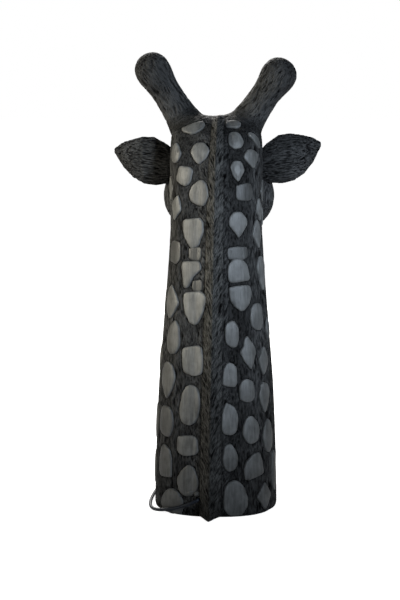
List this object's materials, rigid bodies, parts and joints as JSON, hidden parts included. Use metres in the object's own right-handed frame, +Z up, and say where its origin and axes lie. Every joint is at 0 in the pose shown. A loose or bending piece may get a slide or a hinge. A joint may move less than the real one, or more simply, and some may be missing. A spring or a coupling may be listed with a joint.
{
  "type": "giraffe bust table lamp",
  "caption": "Hollow cast giraffe head and neck standing on the cut end of its neck, with a bulb hung on a cord from its mouth, a cable, a switch and a plug.",
  "frame": {"origin": "on the floor, under the middle of the neck's foot", "axes": "+Z up; the giraffe faces -Y and its mane runs down the back towards +Y; its left side is +X"},
  "size_m": [0.2966, 0.335, 0.6493],
  "materials": {
    "resin": "matt black cast resin with combed fur relief and smooth raised spots",
    "eye": "gloss black domes",
    "birch": "plain birch dowel",
    "fibreboard": "raw fibreboard",
    "felt": "black felt",
    "steel": "zinc plated",
    "grommet": "black rubber",
    "cable": "satin black cable sheath",
    "cord": "black braided textile",
    "black_moulding": "black moulded, semi-gloss",
    "porcelain": "glazed off-white",
    "brass": "bright brass",
    "glass": "clear glass"
  },
  "bodies": {
    "statue": {"neck_shell": "resin", "head_shell": "resin", "left_horn": "resin", "right_horn": "resin", "left_horn_dowel": "birch", "right_horn_dowel": "birch", "left_ear": "resin", "right_ear": "resin", "left_ear_pin": "steel", "right_ear_pin": "steel", "left_eye": "eye", "right_eye": "eye", "base_plate": "fibreboard", "felt_pad": "felt", "base_screw_1": "steel", "base_screw_2": "steel", "base_screw_3": "steel", "base_screw_4": "steel", "cable_grommet": "grommet", "mains_cable": "cable", "plug_lead": "cable", "cord_clamp": "black_moulding", "clamp_screw_1": "steel", "clamp_screw_2": "steel", "terminal_block": "porcelain", "terminal_screw": "steel", "feed_cord": "cord", "mouth_bush": "brass", "switch_base": "black_moulding", "switch_cover": "black_moulding", "switch_terminal_1": "brass", "switch_terminal_2": "brass", "switch_screw_1": "steel", "switch_screw_2": "steel", "rocker_pin": "steel", "plug_body": "black_moulding", "plug_pin_1": "brass", "plug_pin_2": "brass"},
    "cord_top": {"pendant_cord_upper": "cord"},
    "lamp": {"pendant_cord_lower": "cord", "lampholder_cap": "black_moulding", "lampholder_body": "black_moulding", "lampholder_insert": "porcelain", "screw_contact": "brass", "centre_contact": "brass"},
    "bulb": {"bulb_cap": "brass", "bulb_glass": "glass", "bulb_stem": "glass"},
    "rocker": {"switch_rocker": "black_moulding", "switch_blade": "brass"}
  },
  "joints": [
    {"name": "cord_swing", "type": "hinge", "parent": "statue", "child": "cord_top", "pos_m": [0, -0.19, 0.389], "axis": [1, 0, 0], "range_deg": [-60, 15]},
    {"name": "cord_sway", "type": "hinge", "parent": "cord_top", "child": "lamp", "pos_m": [0, -0.19, 0.352], "axis": [0, 1, 0], "range_deg": [-35, 35]},
    {"name": "bulb_unscrew", "type": "slide", "parent": "lamp", "child": "bulb", "axis": [0, 0, -1], "range_m": [0, 0.035]},
    {"name": "switch_rock", "type": "hinge", "parent": "statue", "child": "rocker", "pos_m": [0.028, -0.14, 0.015], "axis": [0, 1, 0], "range_deg": [0, 24]}
  ]
}
